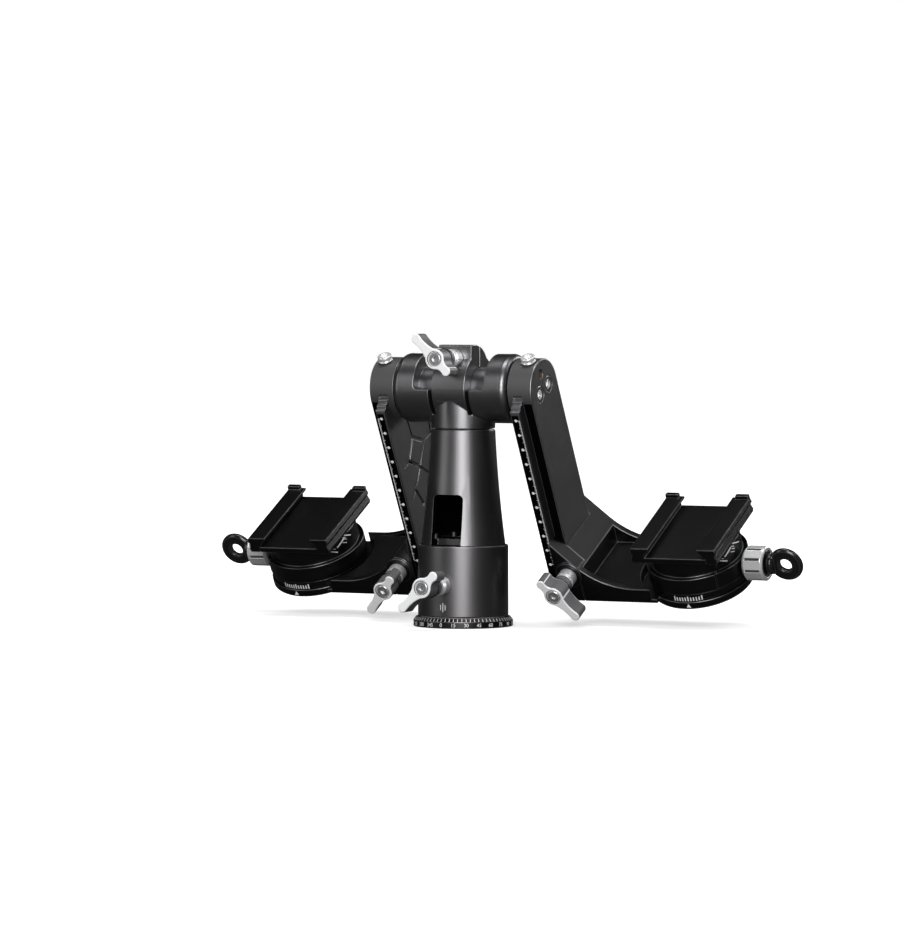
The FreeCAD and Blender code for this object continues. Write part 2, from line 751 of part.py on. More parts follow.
def rail_scallops():
    """Rounded grooves along X, spread evenly down the two slopes at the rail's top."""
    outline = rail_outline()
    cuts = []
    for (y0, z0), (y1, z1) in ((outline[0], outline[1]), (outline[3], outline[2])):
        length = math.hypot(y1 - y0, z1 - z0)
        lift_y = -abs(z1 - z0) / length * rail_scallop_lift * math.copysign(1, y1 - y0)
        lift_z = abs(y1 - y0) / length * rail_scallop_lift
        for k in range(rail_scallop_count):
            share = (k + 0.5) / rail_scallop_count
            centre = (rail_inner, y0 + (y1 - y0) * share + lift_y, z0 + (z1 - z0) * share + lift_z)
            cuts.append(cylinder(rail_scallop_radius, rail_outer - rail_inner, centre, X))
    return cuts


def rail_grooves():
    """Shallow milled channels on the arm's inner face."""
    cuts = []
    for paths, width in ((wide_paths, groove_wide), (thin_paths, groove_thin)):
        for path in paths:
            cuts += [groove(start, end, width) for start, end in zip(path, path[1:])]
            cuts += [cylinder(width / 2, groove_depth, (rail_inner, y, z), X) for y, z in path]
    return cuts


def groove(start, end, width):
    (y0, z0), (y1, z1) = start, end
    length = math.hypot(y1 - y0, z1 - z0)
    across = (-(z1 - z0) / length * width / 2, (y1 - y0) / length * width / 2)
    corners = [(y0 + across[0], z0 + across[1]), (y1 + across[0], z1 + across[1]),
               (y1 - across[0], z1 - across[1]), (y0 - across[0], z0 - across[1])]
    return prism([(rail_inner, y, z) for y, z in corners], X * groove_depth)


def make_arm_screws():
    screws = []
    for offset in (-big_screw_offset, big_screw_offset):
        top = (arm_outer - big_screw_sink, offset, 0)
        head = big_head_depth() - big_screw_sink - bolt_fit
        profile = [(0, 0), (big_screw_head - edge_break, 0), (big_screw_head, edge_break),
                   (big_screw_head, head), (big_screw_radius, head),
                   (big_screw_radius, big_screw_length), (0, big_screw_length)]
        socket = hexagon(big_screw_head * hex_share, head * socket_depth_share, top, -X, Z)
        screws.append(turned(profile, Vector(*top), -X, Z).cut(socket))
    return screws


def make_thumb_screw():
    seat = thumb_seat + turning_gap
    tip = brass_screw_offset + brass_screw_radius + turning_gap
    radius = thumb_head_radius
    collar = seat + thumb_collar_height
    grip = collar + thumb_waist_height
    top = grip + thumb_grip_height
    waist = radius - thumb_waist_depth
    profile = [(0, tip), (thumb_shank_radius, tip), (thumb_shank_radius, seat),
               (radius - edge_break, seat), (radius, seat + edge_break), (radius, collar - edge_break),
               (waist, collar), (waist, grip - edge_break), (radius, grip), (radius, top - edge_break),
               (radius - edge_break, top), (0, top)]
    screw = turned(profile, Vector(thumb_screw_place, 0, 0), Z, X)
    socket = hexagon(radius * hex_share, thumb_grip_height, (thumb_screw_place, 0, top), -Z, X)
    return screw.cut(socket)


# ---- cradle (swing frame, +X side) ----
def wall_shape(y_near, y_far):
    """The cradle's wall from the rail down a filleted slope to the platform, between two Y values."""
    angle = math.radians(gusset_angle)
    inner = rail_inner - slide_fit - lip_thickness
    fillet_start_height = platform_top + gusset_fillet * (1 - math.cos(angle))
    slope_foot = rail_outer + (leg_top - fillet_start_height) / math.tan(angle)
    fillet_end = slope_foot + gusset_fillet * math.sin(angle)
    half = angle / 2
    start = Vector(slope_foot, y_near, fillet_start_height)
    middle = Vector(fillet_end - gusset_fillet * math.sin(half), y_near,
                    platform_top + gusset_fillet * (1 - math.cos(half)))
    corners = [(fillet_end, platform_top), (platform_reach, platform_top), (platform_reach, platform_bottom),
               (inner, platform_bottom), (inner, leg_top), (rail_outer, leg_top)]
    points = [Vector(x, y_near, z) for x, z in corners] + [start]
    edges = [Part.makeLine(a, b) for a, b in zip(points, points[1:])]
    edges.append(Part.Arc(start, middle, points[0]).toShape())
    return Part.Face(Part.Wire(Part.__sortEdges__(edges))).extrude(Y * (y_far - y_near))


def rail_clearance():
    """The space that the arm's rail and spine pass through, open on the near side."""
    low, high = platform_bottom, leg_top
    near = -hook_outer
    half = rail_half_width + slide_fit
    start = rail_inner - slide_fit
    edge = block(start, rail_outer + slide_fit, near, half, low, high)
    spine = boss_radius + slide_fit
    middle = block(rail_outer, leg_inner, -spine, spine, low, high)
    inside = block(start - lip_thickness, rail_outer, near, half - lip_reach, low, high)
    return united([edge, middle, inside])


def jaw_region(extra=0.0):
    """The part of the near wall that the lever draws against the rail."""
    near = -hook_outer
    far = -(boss_radius + slide_fit) + extra
    return block(0, jaw_split + extra, near, far, platform_bottom, leg_top)


def make_cradle():
    full = wall_shape(-hook_outer, hook_outer)
    hollow_start = leg_outer
    inside = hook_outer - gusset_wall
    hollow = block(hollow_start, platform_reach, -inside, inside, platform_top, leg_top)
    pocket = cylinder(disc_radius + disc_gap, platform_thickness, (turn_axis, 0, disc_top), Z)
    disc = cylinder(disc_radius - edge_break, disc_thickness, (turn_axis, 0, disc_bottom), Z)
    rim = cylinder(disc_radius, disc_thickness - edge_break, (turn_axis, 0, disc_bottom + edge_break), Z)
    cradle = united([full.cut(hollow).cut(pocket), disc, rim])
    stud = cylinder(stud_radius + running_fit, 2 * hook_outer, (cradle_lever_place, 0, lever_axis_height), -Y)
    pivot = cylinder(pivot_radius + bolt_fit, disc_thickness, (turn_axis, 0, disc_bottom), Z)
    head = cylinder(pivot_flange_radius + bolt_fit, pivot_head_height, (turn_axis, 0, disc_bottom), Z)
    return without(cradle, [rail_clearance(), jaw_region(slide_fit), stud, pivot, head])


def make_rail_jaw():
    jaw = wall_shape(-hook_outer, hook_outer).common(jaw_region())
    ring = cylinder(lever_ring_radius, lever_ring_rise,
                    (cradle_lever_place, -hook_outer, lever_axis_height), -Y)
    stud = cylinder(stud_radius + running_fit, 2 * hook_outer, (cradle_lever_place, 0, lever_axis_height), -Y)
    return without(united([jaw, ring]), [rail_clearance(), stud])


def make_pivot():
    top = turntable_top - turning_gap
    low = disc_bottom + edge_break
    profile = [(0, low), (pivot_flange_radius, low), (pivot_flange_radius, disc_bottom + pivot_head_height),
               (pivot_radius, disc_bottom + pivot_head_height), (pivot_radius, top - pivot_flange_height),
               (pivot_flange_radius, top - pivot_flange_height), (pivot_flange_radius, top), (0, top)]
    return turned(profile, Vector(turn_axis, 0, 0), Z, X)


# ---- panning clamp (swing frame, +X side) ----
def make_turntable():
    disc = chamfered_cylinder(turntable_radius, turntable_height, edge_break,
                              (turn_axis, 0, turntable_bottom), Z, X)
    bore = cylinder(pivot_radius + running_fit, turntable_height, (turn_axis, 0, turntable_bottom), Z)
    depth = pivot_flange_height + turning_gap + running_fit
    seat = cylinder(pivot_flange_radius + turning_gap, depth, (turn_axis, 0, turntable_top - depth), Z)
    return without(disc, [bore, seat])


def jaw_side():
    """The outer side of a jaw, from its foot up to its top."""
    return [(jaw_back - jaw_foot_inset, housing_top), (jaw_back, jaw_top - jaw_belly_drop),
            (jaw_back - jaw_groove_depth, jaw_top - jaw_groove_drop), (jaw_back, jaw_top - jaw_ridge_drop),
            (jaw_back - jaw_top_inset, jaw_top)]


def fixed_jaw_outline():
    """End view of the fixed jaw and deck, X measured from the turntable's axis."""
    side = [(-x, z) for x, z in reversed(jaw_side())]
    return side + [(deck_edge, housing_top), (deck_edge, channel_floor), (-channel_half_width, channel_floor),
                   (-channel_half_width, dovetail_foot), (-jaw_face, dovetail_foot + dovetail_lip),
                   (-jaw_face, jaw_top)]


def moving_jaw_outline():
    floor = channel_floor + turning_gap
    inner = deck_edge + jaw_split_gap
    return jaw_side() + [(jaw_face, jaw_top), (jaw_face, dovetail_foot + dovetail_lip),
                         (channel_half_width, dovetail_foot), (channel_half_width, floor), (inner, floor),
                         (inner, housing_top)]


def jaw_stop(side):
    """The small block on a jaw's far end."""
    outer = jaw_back - jaw_top_inset
    low, high = sorted((side * outer, side * (outer - jaw_stop_width)))
    return block(turn_axis + low, turn_axis + high, jaw_half_length - jaw_stop_length, jaw_half_length,
                 jaw_top, jaw_top + jaw_stop_height)


def housing_part(low, high, gap):
    """The housing between two X places from the turntable's axis, gap above the turntable."""
    start = (turn_axis, 0, turntable_top + gap)
    base = cylinder(housing_base_radius, housing_base_height - gap, start, Z)
    upper = cylinder(housing_radius, housing_height - gap, start, Z)
    keep = block(turn_axis + low, turn_axis + high, -housing_base_radius, housing_base_radius,
                 turntable_top, housing_top)
    return united([base, upper]).common(keep)


def jaw_bar(outline):
    points = [(turn_axis + x, -jaw_half_length, z) for x, z in outline]
    return prism(points, Y * (2 * jaw_half_length))


def clamp_screw_hole(radius):
    return cylinder(radius, 2 * housing_radius, (turn_axis - housing_radius / 3, 0, clamp_screw_height), X)


def guide_pin(extra, side):
    """A pin that guides the moving jaw, or with extra the hole that it runs in."""
    start = turn_axis + deck_edge - guide_pin_reach - extra
    length = guide_pin_reach + jaw_back - deck_edge - guide_pin_end + 2 * extra
    return cylinder(guide_pin_radius + extra, length, (start, side * guide_pin_offset, guide_pin_height), X)


def make_clamp_body():
    housing = housing_part(-housing_base_radius, deck_edge, 0.0)
    body = united([housing, jaw_bar(fixed_jaw_outline()), jaw_stop(-1)])
    tools = [clamp_screw_hole(clamp_screw_radius + running_fit)]
    tools += [guide_pin(running_fit, side) for side in (-1, 1)]
    return without(body, tools)


def make_moving_jaw():
    housing = housing_part(deck_edge + jaw_split_gap, housing_base_radius, turning_gap)
    jaw = united([housing, jaw_bar(moving_jaw_outline()), jaw_stop(1)])
    pins = [guide_pin(0.0, side) for side in (-1, 1)]
    return without(jaw, [clamp_screw_hole(clamp_screw_radius + running_fit)] + pins)


def make_clamp_screw():
    start = turn_axis + clamp_screw_start
    end = turn_axis + knob_cap_start - edge_break
    return cylinder(clamp_screw_radius, end - start, (start, 0, clamp_screw_height), X)


def knob_flats(start):
    points = []
    for k in range(knob_flutes):
        angle = math.radians(knob_flute_start + 360.0 * k / knob_flutes)
        points.append((start, -knob_corner_radius * math.sin(angle),
                       clamp_screw_height + knob_corner_radius * math.cos(angle)))
    return prism(points, X * knob_length)


def make_knob():
    centre = (turn_axis + knob_start, 0, clamp_screw_height)
    chamfer = knob_chamfer
    profile = [(0, 0), (knob_radius - chamfer, 0), (knob_radius, chamfer),
               (knob_radius, knob_length - knob_rim_chamfer),
               (knob_radius - knob_rim_chamfer, knob_length), (0, knob_length)]
    knob = turned(profile, Vector(*centre), X, Z)
    flute_height = clamp_screw_height + knob_radius + knob_flute_radius - knob_flute_depth
    flute = cylinder(knob_flute_radius, knob_length - 2 * chamfer, (centre[0] + chamfer, 0, flute_height), X)
    flutes = around(flute, knob_flutes, X, knob_flute_start, Vector(0, 0, clamp_screw_height))
    knob = knob.common(knob_flats(centre[0]))
    bore = cylinder(clamp_screw_radius + bolt_fit, knob_length, centre, X)
    seat = (turn_axis + knob_cap_start, 0, clamp_screw_height)
    recess = cylinder(knob_radius - knob_cap_step + bolt_fit, knob_cap_depth, seat, X)
    return without(knob, flutes + [bore, recess])


def make_knob_cap():
    start = turn_axis + knob_cap_start
    radius = knob_radius - knob_cap_step
    face = knob_cap_end - knob_cap_start
    end = face + ring_neck_length
    profile = [(0, 0), (radius, 0), (radius, face - knob_cap_chamfer), (radius - knob_cap_chamfer, face),
               (ring_neck_radius, face), (ring_neck_radius, end), (0, end)]
    return turned(profile, Vector(start, 0, clamp_screw_height), X, Z)


def make_finger_ring():
    start = turn_axis + knob_cap_end + turning_gap
    centre = start + finger_ring_radius + ring_set_back
    half = finger_ring_thickness / 2
    outer = finger_ring_radius
    edge = finger_ring_chamfer
    hole = finger_ring_hole
    soft = finger_hole_chamfer
    profile = [(hole, -half + soft), (hole + soft, -half), (outer - edge, -half), (outer, -half + edge),
               (outer, half - edge), (outer - edge, half), (hole + soft, half), (hole, half - soft)]
    ring = turned(profile, Vector(centre, 0, clamp_screw_height), Y, X)
    collar = chamfered_cylinder(ring_collar_radius, ring_collar_length, ring_collar_chamfer,
                                (start, 0, clamp_screw_height), X, Z)
    opening = cylinder(hole, 2 * finger_ring_thickness,
                       (centre, -finger_ring_thickness, clamp_screw_height), Y)
    socket = cylinder(ring_neck_radius + running_fit, ring_neck_length + turning_gap,
                      (start, 0, clamp_screw_height), X)
    return without(united([ring, collar]), [opening, socket])


# ---- locking lever: axis along Y through the origin, front face at y = 0, back towards +Y ----
def arc_through(a, b, c):
    return Part.Arc(Vector(a[0], 0, a[1]), Vector(b[0], 0, b[1]), Vector(c[0], 0, c[1])).toShape()


def lever_outline():
    """Hub circle with a waisted wing each side, as one closed wire in the X-Z plane."""
    root = math.radians(wing_root_angle)
    start = (hub_radius * math.cos(root), hub_radius * math.sin(root))
    edges = []
    for reach, sign in ((wing_long, 1), (wing_short, -1)):
        tip = reach - wing_tip
        middle = ((start[0] + tip) / 2, (start[1] + wing_tip) / 2 - wing_waist)
        for up in (1, -1):
            edges.append(arc_through((sign * start[0], up * start[1]), (sign * middle[0], up * middle[1]),
                                     (sign * tip, up * wing_tip)))
        edges.append(arc_through((sign * tip, wing_tip), (sign * reach, 0), (sign * tip, -wing_tip)))
    for up in (1, -1):
        edges.append(arc_through((-start[0], up * start[1]), (0, up * hub_radius), (start[0], up * start[1])))
    return Part.Wire(Part.__sortEdges__(edges))


def lever_shape():
    wings = Part.Face(lever_outline()).extrude(Y * wing_depth)
    body = united([wings, cylinder(hub_radius - lever_step, hub_depth, (0, 0, 0), Y)])
    recess = cylinder(lever_recess_radius, lever_recess_depth, (0, 0, 0), Y)
    bore = cylinder(stud_radius + bolt_fit, hub_depth, (0, 0, 0), Y)
    return without(body, [recess, bore])


def stud_shapes(face_to_seat, depth):
    """The stud in a lever, going depth past the seat, and its sleeve, whose collar bears on the seat."""
    start = lever_recess_depth + lever_screw_reach
    shank = cylinder(stud_radius, face_to_seat + depth - start, (0, start, 0), Y)
    bore = stud_radius + bolt_fit
    end = face_to_seat - turning_gap
    collar_start = end - stud_collar_length
    profile = [(bore, hub_depth), (stem_radius, hub_depth), (stem_radius, collar_start),
               (stud_collar_radius, collar_start), (stud_collar_radius, end), (bore, end)]
    return [shank, turned(profile, ORIGIN, Y, X)]


def lever_screw_shape():
    head = lever_recess_radius - lever_screw_fit
    top = lever_screw_sink
    end = lever_recess_depth + lever_screw_reach - bolt_fit
    profile = [(0, top), (head - lever_screw_chamfer, top), (head, top + lever_screw_chamfer),
               (head, lever_recess_depth), (lever_screw_radius, lever_recess_depth),
               (lever_screw_radius, end), (0, end)]
    screw = turned(profile, ORIGIN, Y, X)
    return screw.cut(hexagon(lever_socket_size, lever_socket_depth, (0, top, 0), Y, X))


def lever_set(face_to_seat, depth, turn, place):
    """Lever, stud and screw, turned so that the long wing points at angle turn in the X-Z plane."""
    groups = [[lever_shape()], stud_shapes(face_to_seat, depth), [lever_screw_shape()]]
    for group in groups:
        for shape in group:
            shape.rotate(ORIGIN, -Y, turn)
            shape.translate(Vector(*place))
    return groups


def save_levers():
    names = ("lever", "lever_stud", "lever_screw")
    seat = pan_lever_face - column_radius
    depth = column_radius - column_bore - edge_break
    pan = lever_set(seat, depth, pan_lever_angle, (0, -pan_lever_face, pan_lever_height))
    seat = tilt_lever_face - ear_front
    depth = ear_front + ear_back - stud_end_gap
    tilt = lever_set(seat, depth, tilt_lever_angle,
                     (0, -tilt_lever_face, tilt_axis_height + tilt_screw_height))
    for k, name in enumerate(names):
        save("pan_" + name, pan[k])
        save("tilt_" + name, tilt[k])
    seat = cradle_lever_face - hook_outer - lever_ring_rise
    depth = hook_outer + lever_ring_rise - stud_end_gap
    cradle = lever_set(seat, depth, cradle_lever_angle,
                       (cradle_lever_place, -cradle_lever_face, lever_axis_height))
    for k, name in enumerate(names):
        save_pair("cradle_" + name, cradle[k])


def main():
    os.makedirs("parts", exist_ok=True)
    save("base_plate", make_base_plate())
    save("friction_ring", friction_ring_shape(turning_gap - running_fit))
    save("tripod_bush", make_tripod_bush())
    save("pan_spindle", make_spindle())
    save("base_screws", make_base_screws())
    save("spindle_nut", make_spindle_nut())
    save("bearing_inner_race", make_inner_race())
    save("bearing_balls", make_balls())
    save("bearing_outer_race", make_outer_race())
    save("lower_column", make_lower_column())
    save("upper_column", make_upper_column())
    save("column_screws", make_column_screws())
    save("pan_brake_pad", make_brake_pad())
    save("yoke", make_yoke())
    save("tilt_bushes", make_tilt_bushes())
    save("tilt_lock_nut", make_tilt_nut())
    save("tilt_shaft", swung(make_shaft()))
    screws = make_arm_screws()
    save("arm_screws", [swung(s) for s in screws] + [swung(mirrored(s)) for s in screws])
    brass = brass_screw_shape(0.0)
    save("shaft_lock_screws", [swung(brass), swung(mirrored(brass))])
    save_pair("arm", make_arm())
    save_pair("thumb_screw", make_thumb_screw())
    save_pair("cradle", make_cradle())
    save_pair("rail_jaw", make_rail_jaw())
    save_pair("turn_pivot", make_pivot())
    save_pair("turntable", make_turntable())
    save_pair("clamp_body", make_clamp_body())
    save_pair("moving_jaw", make_moving_jaw())
    save_pair("jaw_pins", [guide_pin(0.0, side) for side in (-1, 1)])
    save_pair("clamp_screw", make_clamp_screw())
    save_pair("clamp_knob", make_knob())
    save_pair("knob_cap", make_knob_cap())
    save_pair("finger_ring", make_finger_ring())
    save_levers()


main()
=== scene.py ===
import json
import math

import bmesh
import bpy
from mathutils import Matrix, Vector


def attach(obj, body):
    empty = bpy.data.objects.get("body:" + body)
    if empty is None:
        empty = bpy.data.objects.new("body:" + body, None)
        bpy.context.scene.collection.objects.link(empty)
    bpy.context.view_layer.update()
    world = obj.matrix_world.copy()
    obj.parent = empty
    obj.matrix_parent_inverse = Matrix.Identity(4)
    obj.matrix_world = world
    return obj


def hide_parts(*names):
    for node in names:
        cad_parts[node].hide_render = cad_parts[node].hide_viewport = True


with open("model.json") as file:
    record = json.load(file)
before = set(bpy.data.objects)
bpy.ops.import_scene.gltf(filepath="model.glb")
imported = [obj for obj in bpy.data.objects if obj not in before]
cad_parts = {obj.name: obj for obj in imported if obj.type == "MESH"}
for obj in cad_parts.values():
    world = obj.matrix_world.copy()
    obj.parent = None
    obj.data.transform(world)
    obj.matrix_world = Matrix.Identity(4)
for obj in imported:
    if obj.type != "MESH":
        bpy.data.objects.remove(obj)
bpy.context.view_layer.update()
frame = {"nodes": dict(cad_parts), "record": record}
mm = 0.001

# where the shaft axis lies and how far the arms lean at rest
swing = {"axisHeight": 143 * mm, "lean": math.radians(28.5)}
swingFrame = Matrix.Translation((0, 0, swing["axisHeight"])) @ Matrix.Rotation(swing["lean"], 4, "X")
mirror = Matrix.Scale(-1, 4, (1, 0, 0))
sides = {"right": Matrix.Identity(4), "left": mirror}

view = {
    "azimuth": math.radians(26.6), "elevation": math.radians(2.3), "distance": 3.0, "clip": 20,
    "target": Vector((-2.561, 2.827, 91.492)) * mm, "lens": 189.3, "sensor": 36.0,
}


def placeCamera():
    back = Vector((math.sin(view["azimuth"]) * math.cos(view["elevation"]),
                   -math.cos(view["azimuth"]) * math.cos(view["elevation"]),
                   math.sin(view["elevation"])))
    data = bpy.data.cameras.new("camera")
    data.lens = view["lens"]
    data.sensor_width = view["sensor"]
    data.clip_end = view["clip"]
    camera = bpy.data.objects.new("camera", data)
    camera.location = view["target"] + back * view["distance"]
    camera.rotation_euler = back.to_track_quat("Z", "Y").to_euler()
    bpy.context.scene.collection.objects.link(camera)
    bpy.context.scene.camera = camera


# lamps stand round the middle: degrees round it and up, metres away and across, watts
light = {
    "floorSize": 6.0, "floorRough": 0.9, "floorSpecular": 0.1,
    "floorSeen": (0.86, 0.86, 0.86, 1), "floorBounce": (0.05, 0.05, 0.05, 1),
    "floorNear": 0.15, "floorFar": 0.7, "floorGlow": (0.42, 0.9),
    "worldColour": (1, 1, 1, 1), "worldDiffuse": 0.35, "worldGlossy": 0.01,
    "middle": Vector((0, 0, 0.09)),
    "boxes": {
        "mainBox": {"around": 23, "up": 16, "far": 1.7, "size": (0.85, 1.3), "power": 25},
        "leftBox": {"around": -42, "up": 18, "far": 1.6, "size": (0.6, 1.2), "power": 3.5},
        "topBox": {"around": 0, "up": 86, "far": 1.5, "size": (1.0, 0.5), "power": 9},
        "rightBox": {"around": 112, "up": 48, "far": 1.6, "size": (0.6, 0.6), "power": 2.5},
        "backBox": {"around": 158, "up": 22, "far": 1.7, "size": (0.7, 0.6), "power": 6},
    },
}


def makeFloor():
    mesh = bpy.data.meshes.new("floor")
    bm = bmesh.new()
    bmesh.ops.create_grid(bm, x_segments=1, y_segments=1, size=light["floorSize"])
    bm.to_mesh(mesh)
    bm.free()
    floor = bpy.data.objects.new("floor", mesh)
    bpy.context.scene.collection.objects.link(floor)
    material = bpy.data.materials.new("paleFloor")
    material.use_nodes = True
    tree = material.node_tree
    shader = tree.nodes["Principled BSDF"]
    shader.inputs["Roughness"].default_value = light["floorRough"]
    shader.inputs["Specular IOR Level"].default_value = light["floorSpecular"]
    shader.inputs["Emission Color"].default_value = (1, 1, 1, 1)
    path = tree.nodes.new("ShaderNodeLightPath")
    shade = tree.nodes.new("ShaderNodeMix")
    shade.data_type = "RGBA"
    shade.inputs["A"].default_value = light["floorBounce"]
    shade.inputs["B"].default_value = light["floorSeen"]
    tree.links.new(path.outputs["Is Camera Ray"], shade.inputs["Factor"])
    tree.links.new(shade.outputs["Result"], shader.inputs["Base Color"])
    place = tree.nodes.new("ShaderNodeTexCoord")
    reach = tree.nodes.new("ShaderNodeVectorMath")
    reach.operation = "LENGTH"
    far = tree.nodes.new("ShaderNodeMapRange")
    far.inputs["From Min"].default_value = light["floorNear"]
    far.inputs["From Max"].default_value = light["floorFar"]
    far.inputs["To Min"].default_value, far.inputs["To Max"].default_value = light["floorGlow"]
    glow = tree.nodes.new("ShaderNodeMath")
    glow.operation = "MULTIPLY"
    tree.links.new(place.outputs["Object"], reach.inputs[0])
    tree.links.new(reach.outputs["Value"], far.inputs["Value"])
    tree.links.new(far.outputs["Result"], glow.inputs[0])
    tree.links.new(path.outputs["Is Camera Ray"], glow.inputs[1])
    tree.links.new(glow.outputs["Value"], shader.inputs["Emission Strength"])
    mesh.materials.append(material)


def makeWorld():
    world = bpy.data.worlds.new("studio")
    bpy.context.scene.world = world
    world.use_nodes = True
    tree = world.node_tree
    background = tree.nodes["Background"]
    background.inputs["Color"].default_value = light["worldColour"]
    path = tree.nodes.new("ShaderNodeLightPath")
    seen = tree.nodes.new("ShaderNodeMix")
    seen.inputs["A"].default_value = light["worldDiffuse"]
    seen.inputs["B"].default_value = light["worldGlossy"]
    tree.links.new(path.outputs["Is Glossy Ray"], seen.inputs["Factor"])
    bright = tree.nodes.new("ShaderNodeMix")
    bright.inputs["B"].default_value = 1.0
    tree.links.new(path.outputs["Is Camera Ray"], bright.inputs["Factor"])
    tree.links.new(seen.outputs["Result"], bright.inputs["A"])
    tree.links.new(bright.outputs["Result"], background.inputs["Strength"])


def makeLamps():
    for name, box in light["boxes"].items():
        data = bpy.data.lights.new(name, "AREA")
        data.shape = "RECTANGLE"
        data.size, data.size_y = box["size"]
        data.energy = box["power"]
        lamp = bpy.data.objects.new(name, data)
        around, up = math.radians(box["around"]), math.radians(box["up"])
        aim = Vector((math.sin(around) * math.cos(up), -math.cos(around) * math.cos(up), math.sin(up)))
        lamp.location = light["middle"] + aim * box["far"]
        lamp.rotation_euler = aim.to_track_quat("Z", "Y").to_euler()
        bpy.context.scene.collection.objects.link(lamp)


# an empty shader group with its two end nodes
def newGroup(name, inputs, outputs):
    group = bpy.data.node_groups.new(name, "ShaderNodeTree")
    for socket, kind, value in inputs:
        made = group.interface.new_socket(socket, in_out="INPUT", socket_type=kind)
        made.default_value = value
    for socket, kind in outputs:
        group.interface.new_socket(socket, in_out="OUTPUT", socket_type=kind)
    return group, group.nodes.new("NodeGroupInput"), group.nodes.new("NodeGroupOutput")


def objectNoise(tree, detail):
    place = tree.nodes.new("ShaderNodeTexCoord")
    noise = tree.nodes.new("ShaderNodeTexNoise")
    noise.inputs["Detail"].default_value = detail
    tree.links.new(place.outputs["Object"], noise.inputs["Vector"])
    return noise


grainLook = {"grainDetail": 2.0, "cloudDetail": 4.0, "cloudScale": 55.0, "cloudShare": 0.5,
             "low": 0.32, "high": 0.68, "depth": 0.05}


# bead-blasted grain over soft clouds: roughness between two values, and a height for a bump
def makeGrainGroup():
    group, source, result = newGroup(
        "beadBlastGrain",
        [("Size", "NodeSocketFloat", 3000.0), ("Smooth", "NodeSocketFloat", 0.3),
         ("Rough", "NodeSocketFloat", 0.45)],
        [("Roughness", "NodeSocketFloat"), ("Height", "NodeSocketFloat")])
    grain = objectNoise(group, grainLook["grainDetail"])
    group.links.new(source.outputs["Size"], grain.inputs["Scale"])
    cloud = objectNoise(group, grainLook["cloudDetail"])
    cloud.inputs["Scale"].default_value = grainLook["cloudScale"]
    blend = group.nodes.new("ShaderNodeMix")
    blend.inputs["Factor"].default_value = grainLook["cloudShare"]
    group.links.new(grain.outputs["Fac"], blend.inputs["A"])
    group.links.new(cloud.outputs["Fac"], blend.inputs["B"])
    spread = group.nodes.new("ShaderNodeMapRange")
    spread.inputs["From Min"].default_value = grainLook["low"]
    spread.inputs["From Max"].default_value = grainLook["high"]
    group.links.new(blend.outputs["Result"], spread.inputs["Value"])
    group.links.new(source.outputs["Smooth"], spread.inputs["To Min"])
    group.links.new(source.outputs["Rough"], spread.inputs["To Max"])
    group.links.new(spread.outputs["Result"], result.inputs["Roughness"])
    group.links.new(grain.outputs["Fac"], result.inputs["Height"])
    return group


edgeLook = {"detail": 5.0, "scale": 220.0, "low": 0.35, "high": 0.65, "least": 0.75}


# rubbed edges and painted light: rounded edge faces carry the attribute "edge", broken up by noise,
# and the faces in a second colour, painted shade or a painted highlight, carry "shade"
def makeEdgeGroup():
    group, source, result = newGroup(
        "rubbedEdge",
        [("Base", "NodeSocketColor", (0.02, 0.02, 0.02, 1)),
         ("Shade", "NodeSocketColor", (0.02, 0.02, 0.02, 1)),
         ("Rubbed", "NodeSocketColor", (0.1, 0.1, 0.1, 1)), ("Amount", "NodeSocketFloat", 0.5)],
        [("Color", "NodeSocketColor"), ("Shaded", "NodeSocketFloat")])
    edge = group.nodes.new("ShaderNodeAttribute")
    edge.attribute_name = "edge"
    noise = objectNoise(group, edgeLook["detail"])
    noise.inputs["Scale"].default_value = edgeLook["scale"]
    patch = group.nodes.new("ShaderNodeMapRange")
    patch.inputs["From Min"].default_value = edgeLook["low"]
    patch.inputs["From Max"].default_value = edgeLook["high"]
    patch.inputs["To Min"].default_value = edgeLook["least"]
    group.links.new(noise.outputs["Fac"], patch.inputs["Value"])
    mask = group.nodes.new("ShaderNodeMath")
    mask.operation = "MULTIPLY"
    group.links.new(edge.outputs["Fac"], mask.inputs[0])
    group.links.new(patch.outputs["Result"], mask.inputs[1])
    scaled = group.nodes.new("ShaderNodeMath")
    scaled.operation = "MULTIPLY"
    group.links.new(mask.outputs["Value"], scaled.inputs[0])
    group.links.new(source.outputs["Amount"], scaled.inputs[1])
    # painted shade and painted highlights: the attribute "shade" blends in the second colour
    shade = group.nodes.new("ShaderNodeAttribute")
    shade.attribute_name = "shade"
    ground = group.nodes.new("ShaderNodeMix")
    ground.data_type = "RGBA"
    group.links.new(shade.outputs["Fac"], ground.inputs["Factor"])
    group.links.new(source.outputs["Base"], ground.inputs["A"])
    group.links.new(source.outputs["Shade"], ground.inputs["B"])
    colour = group.nodes.new("ShaderNodeMix")
    colour.data_type = "RGBA"
    group.links.new(scaled.outputs["Value"], colour.inputs["Factor"])
    group.links.new(ground.outputs["Result"], colour.inputs["A"])
    group.links.new(source.outputs["Rubbed"], colour.inputs["B"])
    group.links.new(colour.outputs["Result"], result.inputs["Color"])
    group.links.new(shade.outputs["Fac"], result.inputs["Shaded"])
    return group
